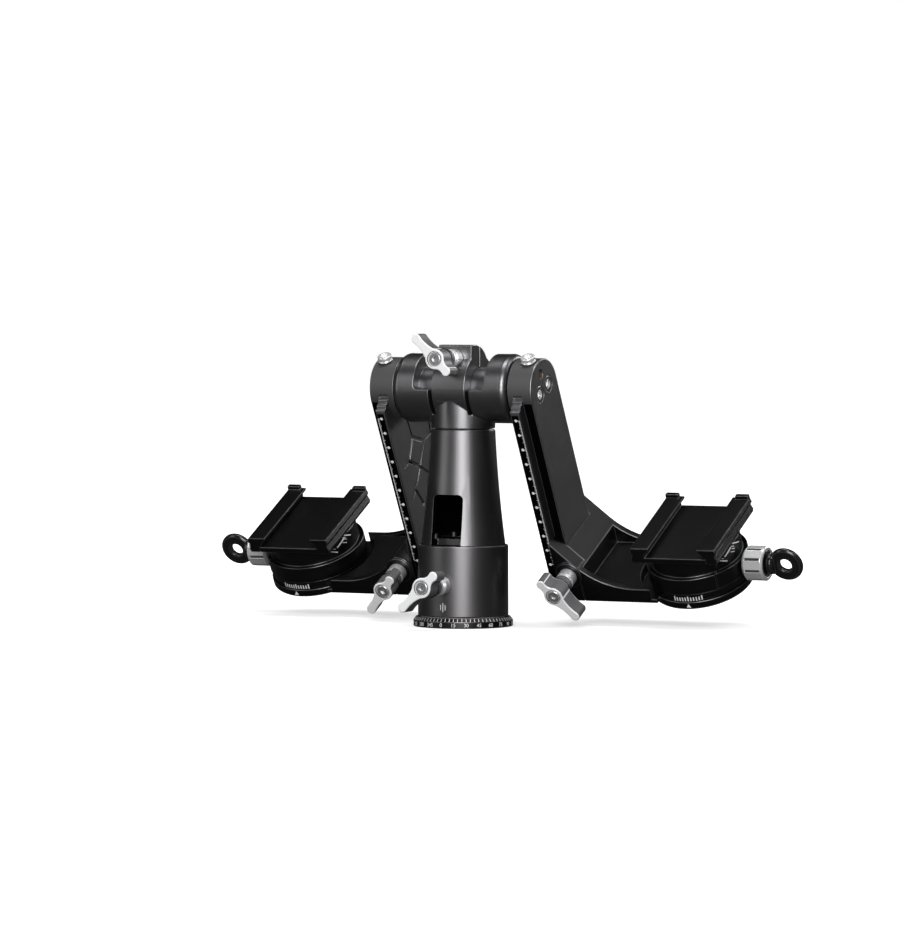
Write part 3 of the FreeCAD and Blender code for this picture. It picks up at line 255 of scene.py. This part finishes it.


# each finish: colour, rubbed colour and its amount, the second colour (painted shade on shaded faces, a
# painted highlight in screw sockets) and how dull those faces are, metal, roughness range, grain size and
# bump
finishes = {
    "black_anodised": {
        "colour": (0.05, 0.05, 0.052), "rubbed": (0.34, 0.34, 0.35), "amount": 0.5,
        "metal": 1.0, "rough": (0.33, 0.38), "grain": 2600, "bump": 0.02, "specular": 0.5},
    "yoke_grey": {
        "colour": (0.22, 0.218, 0.225), "rubbed": (0.50, 0.50, 0.51), "amount": 0.35,
        "metal": 1.0, "rough": (0.33, 0.38), "grain": 2600, "bump": 0.02, "specular": 0.5},
    "column_satin": {
        "colour": (0.19, 0.185, 0.19), "rubbed": (0.42, 0.42, 0.42), "amount": 0.4,
        # painted shade: near black inside the bore and on the window's walls
        "shade": (0.004, 0.004, 0.004), "dull": 0.9,
        "metal": 1.0, "rough": (0.36, 0.40), "grain": 3000, "bump": 0.02, "specular": 0.5},
    "arm_black": {
        "colour": (0.30, 0.298, 0.305), "rubbed": (0.48, 0.48, 0.49), "amount": 0.5,
        # painted shade: near black on the arm's faces that do not face sideways, half strength on the boss,
        # and in its grooves
        "shade": (0.004, 0.004, 0.004), "dull": 0.9,
        "metal": 1.0, "rough": (0.36, 0.42), "grain": 2400, "bump": 0.02, "specular": 0.5},
    "silver_cast": {
        "colour": (0.90, 0.90, 0.91), "rubbed": (0.96, 0.96, 0.96), "amount": 0.8,
        # painted shade: the lever sides, across the lever's axis, take this darker grey
        "shade": (0.13, 0.13, 0.135),
        "metal": 0.12, "rough": (0.32, 0.42), "grain": 2600, "bump": 0.03, "specular": 0.5},
    "silver_turned": {
        "colour": (0.86, 0.86, 0.87), "rubbed": (0.96, 0.96, 0.96), "amount": 0.8,
        # painted shade: the walls and floors of the knob's flutes take this dark grey
        "shade": (0.10, 0.10, 0.10),
        "metal": 0.55, "rough": (0.24, 0.28), "grain": 1800, "bump": 0.02, "specular": 0.5},
    "steel": {
        "colour": (0.80, 0.80, 0.81), "rubbed": (0.92, 0.92, 0.92), "amount": 0.6,
        # painted shade: the flat face of each lever screw takes this mid grey
        "shade": (0.36, 0.36, 0.37),
        "metal": 0.7, "rough": (0.26, 0.30), "grain": 1500, "bump": 0.02, "specular": 0.5},
    "dark_screw": {
        "colour": (0.30, 0.30, 0.305), "rubbed": (0.80, 0.80, 0.80), "amount": 1.0,
        # painted highlight: the arm screws' hex sockets take this near white
        "shade": (0.85, 0.85, 0.85),
        "metal": 0.9, "rough": (0.25, 0.33), "grain": 1500, "bump": 0.02, "specular": 0.5},
    "brass": {
        "colour": (0.58, 0.27, 0.14), "rubbed": (0.8, 0.45, 0.3), "amount": 0.6,
        "metal": 1.0, "rough": (0.26, 0.36), "grain": 1500, "bump": 0.02, "specular": 0.5},
    "bronze": {
        "colour": (0.50, 0.32, 0.15), "rubbed": (0.7, 0.5, 0.3), "amount": 0.6,
        "metal": 1.0, "rough": (0.35, 0.5), "grain": 2400, "bump": 0.04, "specular": 0.5},
    "polymer": {
        "colour": (0.72, 0.71, 0.67), "rubbed": (0.8, 0.8, 0.76), "amount": 0.4,
        "metal": 0.0, "rough": (0.45, 0.6), "grain": 1200, "bump": 0.03, "specular": 0.4},
    "black_cap": {
        "colour": (0.007, 0.007, 0.008), "rubbed": (0.06, 0.06, 0.06), "amount": 0.3,
        "metal": 0.0, "rough": (0.12, 0.20), "grain": 1200, "bump": 0.02, "specular": 0.6},
}


def makeFinish(name, values, grainGroup, edgeAndPaintedLightGroup):
    material = bpy.data.materials.new(name)
    material.use_nodes = True
    tree = material.node_tree
    shader = tree.nodes["Principled BSDF"]
    shader.inputs["Metallic"].default_value = values["metal"]
    shader.inputs["Specular IOR Level"].default_value = values["specular"]
    grain = tree.nodes.new("ShaderNodeGroup")
    grain.node_tree = grainGroup
    grain.inputs["Size"].default_value = values["grain"]
    grain.inputs["Smooth"].default_value = values["rough"][0]
    grain.inputs["Rough"].default_value = values["rough"][1]
    edge = tree.nodes.new("ShaderNodeGroup")
    edge.node_tree = edgeAndPaintedLightGroup
    edge.inputs["Base"].default_value = (*values["colour"], 1)
    edge.inputs["Shade"].default_value = (*values.get("shade", values["colour"]), 1)
    edge.inputs["Rubbed"].default_value = (*values["rubbed"], 1)
    edge.inputs["Amount"].default_value = values["amount"]
    bump = tree.nodes.new("ShaderNodeBump")
    bump.inputs["Strength"].default_value = values["bump"]
    bump.inputs["Distance"].default_value = grainLook["depth"] * mm
    # faces that carry painted shade are also made duller
    dull = tree.nodes.new("ShaderNodeMix")
    dull.inputs["B"].default_value = values.get("dull", values["rough"][1])
    tree.links.new(edge.outputs["Shaded"], dull.inputs["Factor"])
    tree.links.new(grain.outputs["Roughness"], dull.inputs["A"])
    tree.links.new(dull.outputs["Result"], shader.inputs["Roughness"])
    tree.links.new(grain.outputs["Height"], bump.inputs["Height"])
    tree.links.new(bump.outputs["Normal"], shader.inputs["Normal"])
    tree.links.new(edge.outputs["Color"], shader.inputs["Base Color"])
    return material


whitePrint = {"worn": (0.78, 0.78, 0.78, 1), "fresh": (0.90, 0.90, 0.89, 1), "rough": 0.55,
              "detail": 3.0, "scale": 900.0}


def makePaint():
    material = bpy.data.materials.new("whitePrint")
    material.use_nodes = True
    tree = material.node_tree
    shader = tree.nodes["Principled BSDF"]
    shader.inputs["Roughness"].default_value = whitePrint["rough"]
    noise = objectNoise(tree, whitePrint["detail"])
    noise.inputs["Scale"].default_value = whitePrint["scale"]
    worn = tree.nodes.new("ShaderNodeMix")
    worn.data_type = "RGBA"
    worn.inputs["A"].default_value = whitePrint["worn"]
    worn.inputs["B"].default_value = whitePrint["fresh"]
    tree.links.new(noise.outputs["Fac"], worn.inputs["Factor"])
    tree.links.new(worn.outputs["Result"], shader.inputs["Base Color"])
    return material


# a piece that rides a body, smooth but for its sharp edges
def finishPiece(name, bm, body, slot, replaced=(), material=None, sharp=30):
    mesh = bpy.data.meshes.new(name)
    bm.to_mesh(mesh)
    bm.free()
    for face in mesh.polygons:
        face.use_smooth = True
    mesh.set_sharp_from_angle(angle=math.radians(sharp))
    piece = bpy.data.objects.new(name, mesh)
    bpy.context.scene.collection.objects.link(piece)
    mesh.materials.append(material or materials[slot])
    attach(piece, body)
    if replaced:
        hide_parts(*replaced)
    return piece


bodyOf = {node: body for body, nodes in frame["record"]["behaviour"]["bodies"].items() for node in nodes}
slotOf = {entry["node"]: entry["material_slot"] for entry in frame["record"]["subparts"]}
jointOf = {joint["child"]: joint for joint in frame["record"]["behaviour"]["joints"]}

# nodes whose look differs from the rest of their slot; the column screws take the black finish as painted
# shade inside the column's window
finishOf = {"yoke": "yoke_grey", "tilt_shaft": "yoke_grey", "column_screws": "black_anodised"}

# which faces take painted light, painted shade on most and a painted highlight in the arm screws' sockets:
# how far they point along an axis, from 0 to 1, and where they lie, in millimetres; arm, screws and knob are
# measured in the swing frame
shading = {
    "lever": {"flank": 0.35, "screwFace": 0.95, "hubRim": 5.2},
    "arm": {"face": 38.3, "sunk": 0.02, "grooveReach": 1.6, "grooveSide": 24.0, "bossFoot": -24.0,
            "sideways": 0.5, "bossShade": 0.5},
    "screws": {"socketFloor": 53.5},
    "column": {"outward": 0.3, "upright": 0.7, "bore": 18.0},
    "knob": {"height": -118.3, "sideways": 0.3, "fluteInner": 9.3, "fluteOuter": 10.25},
}
toSwing = swingFrame.inverted()


# faces in an arm's milled grooves; they lose the rubbed mark and take painted shade
def inGroove(node, face):
    arm = shading["arm"]
    centre = toSwing @ face.calc_center_median() / mm
    return (node.endswith("_arm") and arm["sunk"] < abs(centre.x) - arm["face"] < arm["grooveReach"]
            and abs(centre.y) < arm["grooveSide"] and centre.z < arm["bossFoot"])


# how far a face takes its finish's second colour, painted shade or a painted highlight, from 0 to 1
def shadeOf(node, face):
    words = node.split("_")
    spot = face.calc_center_median() / mm
    centre = toSwing @ face.calc_center_median() / mm
    # painted shade on lever sides and on the flat face of lever screws
    if "lever" in words and words[-1] != "stud":
        lever = shading["lever"]
        facing = abs(face.normal.dot(Vector(jointOf[bodyOf[node]]["axis"])))
        return facing < lever["flank"] if words[-1] == "lever" else facing > lever["screwFace"]
    # painted shade on arm faces that do not face sideways, half on the boss, and in the grooves
    if words[-1] == "arm":
        arm = shading["arm"]
        if abs(face.normal.x) < arm["sideways"]:
            return arm["bossShade"] if centre.z > arm["bossFoot"] else 1.0
        return inGroove(node, face)
    # painted highlight in the arm screws' sockets
    if node == "arm_screws":
        return abs(centre.x) < shading["screws"]["socketFloor"]
    # painted shade inside the column's bore and on the window's walls
    if words[-1] == "column":
        column = shading["column"]
        outward = Vector((spot.x, spot.y, 0)).normalized().dot(face.normal)
        upright = abs(face.normal.z) < column["upright"]
        return outward < column["outward"] and (upright or math.hypot(spot.x, spot.y) < column["bore"])
    # painted shade in the knob's flutes
    if words[-1] == "knob":
        knob = shading["knob"]
        radius = math.hypot(centre.y, centre.z - knob["height"])
        return abs(face.normal.x) < knob["sideways"] and knob["fluteInner"] < radius < knob["fluteOuter"]
    return False


def camel(node):
    first, *rest = node.split("_")
    return first + "".join(word.capitalize() for word in rest)


# the edges round a lever's screw, too close together for a wide rounding
def onHub(node, edge):
    if not node.endswith("_lever"):
        return False
    joint = jointOf[bodyOf[node]]
    axis = Vector(joint["axis"])
    reach = (edge.verts[0].co + edge.verts[1].co) / 2 - Vector(joint["pos_m"])
    return (reach - axis * reach.dot(axis)).length < shading["lever"]["hubRim"] * mm


# angles in degrees; widths in millimetres
softening = {"merge": 0.002, "flat": 0.4, "sharp": 24, "keepSharp": 38, "segments": 2,
             "hubWidth": 0.12}


# a merged copy of a CAD node with its sharp edges rounded; the rounded faces are marked for the finish
def softened(node, width):
    bm = bmesh.new()
    mask = bm.faces.layers.float.new("edge")
    shade = bm.faces.layers.float.new("shade")
    bm.from_mesh(frame["nodes"][node].data)
    bmesh.ops.remove_doubles(bm, verts=bm.verts, dist=softening["merge"] * mm)
    bmesh.ops.dissolve_limit(bm, angle_limit=math.radians(softening["flat"]), verts=bm.verts, edges=bm.edges,
                             use_dissolve_boundaries=False)
    sharp = [edge for edge in bm.edges
             if len(edge.link_faces) == 2 and edge.calc_face_angle(0) > math.radians(softening["sharp"])]
    wide = [edge for edge in sharp if not onHub(node, edge)]
    hub = [edge for edge in sharp if onHub(node, edge)]
    for chosen, offset in ((wide, width), (hub, softening["hubWidth"])):
        usable = [edge for edge in chosen if edge.is_valid]  # the first bevel can use up a hub edge
        made = bmesh.ops.bevel(bm, geom=usable, offset=offset * mm, offset_type="OFFSET", affect="EDGES",
                               segments=softening["segments"], profile=0.5, clamp_overlap=False, material=-1)
        for face in made["faces"]:
            face[mask] = 1.0
    bm.normal_update()
    # painted light: groove faces lose the rubbed mark, and each face that is not rubbed takes its share of
    # painted shade or painted highlight
    for face in bm.faces:
        if inGroove(node, face):
            face[mask] = 0.0
        face[shade] = 0.0 if face[mask] else float(shadeOf(node, face))
    piece = finishPiece(camel(node) + "Body", bm, bodyOf[node], slotOf[node], (node,),
                        materials[finishOf.get(node, slotOf[node])], sharp=softening["keepSharp"])
    weighted = piece.modifiers.new("weightedNormals", "WEIGHTED_NORMAL")
    weighted.keep_sharp = True


# rounding of each visible node's edges, in millimetres
rounding = {
    "base_plate": 0.25, "tripod_bush": 0.2, "lower_column": 0.25, "upper_column": 0.25, "yoke": 0.5,
    "pan_lever": 0.7, "tilt_lever": 0.7, "pan_lever_stud": 0.3, "tilt_lever_stud": 0.3,
    "pan_lever_screw": 0.15, "tilt_lever_screw": 0.15, "tilt_shaft": 0.15, "arm_screws": 0.15,
    "shaft_lock_screws": 0.15, "tilt_lock_nut": 0.2,
}
pairRounding = {
    "arm": 0.2, "thumb_screw": 0.2, "cradle": 0.5, "rail_jaw": 0.5, "cradle_lever": 0.7,
    "cradle_lever_stud": 0.3, "cradle_lever_screw": 0.15, "turntable": 0.25, "clamp_body": 0.4,
    "moving_jaw": 0.4, "clamp_knob": 0.25, "knob_cap": 0.3, "finger_ring": 0.5,
}


# printed marks are thin solids laid on the surface, as high as this and lifted by this
printing = {"height": 0.03, "lift": 0.01}


def flatText(words, size):
    curve = bpy.data.curves.new("mark", "FONT")
    curve.body = words
    curve.size = size * mm
    curve.align_x = "CENTER"
    curve.align_y = "CENTER"
    curve.extrude = printing["height"] * mm / 2
    text = bpy.data.objects.new("mark", curve)
    bpy.context.scene.collection.objects.link(text)
    bpy.context.view_layer.update()
    mesh = bpy.data.meshes.new_from_object(text)
    bpy.data.objects.remove(text)
    bpy.data.curves.remove(curve)
    return mesh


def stampText(bm, words, size, place):
    mesh = flatText(words, size)
    start = len(bm.verts)
    bm.from_mesh(mesh)
    bm.verts.ensure_lookup_table()
    for vert in bm.verts[start:]:
        vert.co = place(vert.co)
    bpy.data.meshes.remove(mesh)


def stampBar(bm, width, height, at, place):
    made = bmesh.ops.create_cube(bm, size=1.0)
    for vert in made["verts"]:
        flat = Vector((vert.co.x * width * mm + at[0] * mm, vert.co.y * height * mm + at[1] * mm,
                       vert.co.z * printing["height"] * mm))
        vert.co = place(flat)


# maps a flat mark round a turned part: x runs round it, y along its axis
def roundThe(radiusAt, angle, height, axis=Vector((0, 0, 0)), frameOf=Matrix.Identity(4)):
    def place(flat):
        up = height * mm + flat.y
        radius = radiusAt(up / mm) * mm + flat.z + printing["lift"] * mm
        turn = math.radians(angle) + flat.x / radius
        return frameOf @ (axis + Vector((radius * math.cos(turn), radius * math.sin(turn), up)))
    return place


# angles in degrees, heights above the base's foot
panScale = {"radius": 30.0, "bandMiddle": 1.95, "textSize": 3.1, "bevelStart": 3.9, "top": 6.0,
            "topRadius": 28.4, "tick": 0.34, "tickLength": 1.7, "tickMiddle": 1.0,
            "zero": -90, "step": 5, "numberStep": 15}


def bevelRadius(up):
    if up <= panScale["bevelStart"]:
        return panScale["radius"]
    share = (up - panScale["bevelStart"]) / (panScale["top"] - panScale["bevelStart"])
    return panScale["radius"] + (panScale["topRadius"] - panScale["radius"]) * share


def makePanScale():
    bm = bmesh.new()
    for angle in range(0, 360, panScale["step"]):
        turn = panScale["zero"] + angle
        place = roundThe(bevelRadius, turn, panScale["bevelStart"])
        stampBar(bm, panScale["tick"], panScale["tickLength"], (0, panScale["tickMiddle"]), place)
        if angle % panScale["numberStep"] == 0:
            stampText(bm, str(angle), panScale["textSize"],
                      roundThe(bevelRadius, turn, panScale["bandMiddle"]))
    finishPiece("panScalePrint", bm, "base", "silver_cast", material=paint)


panIndex = {"radius": 27.2, "height": 12.4, "gap": 1.5, "tall": 5.4, "short": 3.2, "wide": 0.45}


def makePanIndex():
    bm = bmesh.new()
    place = roundThe(lambda up: panIndex["radius"], panScale["zero"], panIndex["height"])
    for offset in (-1, 0, 1):
        tall = panIndex["tall"] if offset == 0 else panIndex["short"]
        stampBar(bm, panIndex["wide"], tall, (offset * panIndex["gap"], 0), place)
    finishPiece("panIndexPrint", bm, "pan", "silver_cast", material=paint)


# scale on the arm's front edge; x runs inwards across the edge and y down the arm;
# each tick has a step, a width, a height and where its middle lies
armScale = {"face": -26.5, "outer": 47.3, "zero": -6.8, "length": 100, "line": 0.28,
            "dot": 0.95, "dotMiddle": 2.3, "dotHeight": 0.03, "dotSides": 16, "dotRings": 8,
            "ticks": ((10, 1.6, 0.36, 0.9), (5, 1.1, 0.3, 0.6), (1, 0.7, 0.22, 0.4))}


def makeArmScale(side):
    flip = sides[side]

    def place(flat):
        return swingFrame @ flip @ Vector((armScale["outer"] * mm - flat.x,
                                           armScale["face"] * mm - flat.z - printing["lift"] * mm,
                                           armScale["zero"] * mm - flat.y))
    bm = bmesh.new()
    stampBar(bm, armScale["line"], armScale["length"], (0, armScale["length"] / 2), place)
    for mark in range(armScale["length"] + 1):
        step, width, height, middle = next(tick for tick in armScale["ticks"] if mark % tick[0] == 0)
        stampBar(bm, width, height, (middle, mark), place)
        if step == armScale["ticks"][0][0]:
            made = bmesh.ops.create_uvsphere(bm, u_segments=armScale["dotSides"],
                                             v_segments=armScale["dotRings"], radius=armScale["dot"] * mm)
            for vert in made["verts"]:
                flat = Vector((vert.co.x + armScale["dotMiddle"] * mm, vert.co.y + mark * mm,
                               vert.co.z * armScale["dotHeight"]))
                vert.co = place(flat)
    bmesh.ops.recalc_face_normals(bm, faces=bm.faces)
    finishPiece(side + "ArmScalePrint", bm, "swing", "silver_cast", material=paint)


# scale round each turntable and the pointer on the cradle's disc below it; angles in degrees
turnScale = {"axis": 130.0, "radius": 30.0, "low": -127.7, "tick": 0.7, "step": 3.3, "marks": 5,
             "middle": -84.5, "tallEvery": 5, "tall": 3.2, "short": 2.5,
             "discRadius": 31.2, "discMiddle": -130.6, "pointer": 1.7}


def makeTurnScale(side):
    flip = swingFrame @ sides[side]
    axis = Vector((turnScale["axis"] * mm, 0, 0))
    bm = bmesh.new()
    for mark in range(-turnScale["marks"], turnScale["marks"] + 1):
        tall = turnScale["tall"] if mark % turnScale["tallEvery"] == 0 else turnScale["short"]
        angle = turnScale["middle"] + mark * turnScale["step"]
        place = roundThe(lambda up: turnScale["radius"], angle, turnScale["low"], axis, flip)
        stampBar(bm, turnScale["tick"], tall, (0, tall / 2), place)
    bmesh.ops.recalc_face_normals(bm, faces=bm.faces)
    finishPiece(side + "TurnScalePrint", bm, side + "_turntable", "silver_cast", material=paint)


def makeTurnIndex(side):
    flip = swingFrame @ sides[side]
    axis = Vector((turnScale["axis"] * mm, 0, 0))
    bm = bmesh.new()
    made = bmesh.ops.create_cone(bm, cap_ends=True, segments=3, radius1=turnScale["pointer"] * mm,
                                 radius2=turnScale["pointer"] * mm, depth=printing["height"] * mm)
    place = roundThe(lambda up: turnScale["discRadius"], turnScale["middle"], turnScale["discMiddle"],
                     axis, flip)
    for vert in made["verts"]:
        vert.co = place(vert.co)
    bmesh.ops.recalc_face_normals(bm, faces=bm.faces)
    finishPiece(side + "TurnIndexPrint", bm, side + "_cradle", "silver_cast", material=paint)


# marks on each clamp's housing: where each stroke starts and ends, as degrees and a height, and its width
clampMarks = {
    "radius": 28.0, "pitch": 1.5,
    "right": {"node": "right_moving_jaw", "strokes": [
        ((-11.3, -101.4), (5.6, -105.1), 0.7), ((-14.8, -102.6), (-8.9, -103.9), 0.4),
        ((-15.7, -102.9), (-28.7, -106.1), 1.0), ((-14.5, -104.2), (-8.5, -105.5), 0.4),
        ((-17.5, -105.6), (-10.4, -107.2), 0.4), ((-33.8, -106.1), (-30.0, -107.0), 0.4),
        ((-36.4, -106.9), (-26.1, -109.5), 0.7)]},
    "left": {"node": "left_clamp_body", "strokes": [
        ((-16.8, -101.4), (-4.1, -104.7), 0.7), ((-20.8, -102.0), (-15.0, -103.4), 0.4),
        ((-17.2, -102.9), (-31.5, -106.5), 1.0), ((-19.0, -103.6), (-13.5, -104.9), 0.4),
        ((-21.5, -105.4), (-15.0, -107.0), 0.4), ((-38.0, -106.0), (-34.0, -107.0), 0.4),
        ((-41.5, -107.1), (-32.3, -109.6), 0.7)]},
}


def makeClampMarks(side):
    values = clampMarks[side]
    axis = sides[side] @ Vector((turnScale["axis"] * mm, 0, 0))
    place = roundThe(lambda up: clampMarks["radius"], 0, 0, axis, swingFrame)
    bm = bmesh.new()
    for start, end, width in values["strokes"]:
        first, last = [Vector((math.radians(angle) * clampMarks["radius"], up)) for angle, up in (start, end)]
        reach = last - first
        count = math.ceil(reach.length / clampMarks["pitch"])
        turn = Matrix.Rotation(math.atan2(reach.y, reach.x), 4, "Z")
        for part in range(count):
            middle = first + reach * (part + 0.5) / count
            made = bmesh.ops.create_cube(bm, size=1.0)
            for vert in made["verts"]:
                flat = Vector((vert.co.x * reach.length / count, vert.co.y * width,
                               vert.co.z * printing["height"]))
                vert.co = place((turn @ flat + Vector((middle.x, middle.y, 0))) * mm)
    bmesh.ops.recalc_face_normals(bm, faces=bm.faces)
    finishPiece(side + "ClampPrint", bm, bodyOf[values["node"]], "silver_cast", material=paint)


bpy.context.scene.view_settings.view_transform = "Standard"
placeCamera()
makeFloor()
makeWorld()
makeLamps()
print("stage: camera, floor and light are set")

grainGroup = makeGrainGroup()
edgeAndPaintedLightGroup = makeEdgeGroup()
materials = {name: makeFinish(name, values, grainGroup, edgeAndPaintedLightGroup) for name, values in finishes.items()}
paint = makePaint()
for node, piece in frame["nodes"].items():
    piece.data.materials.clear()
    piece.data.materials.append(materials[finishOf.get(node, slotOf[node])])
print("stage: finishes are made")

for node, width in rounding.items():
    softened(node, width)
for node, width in pairRounding.items():
    for side in sides:
        softened(side + "_" + node, width)
print("stage: edges are rounded")

makePanScale()
makePanIndex()
for side in sides:
    makeArmScale(side)
    makeTurnScale(side)
    makeTurnIndex(side)
    makeClampMarks(side)
print("stage: marks are printed")
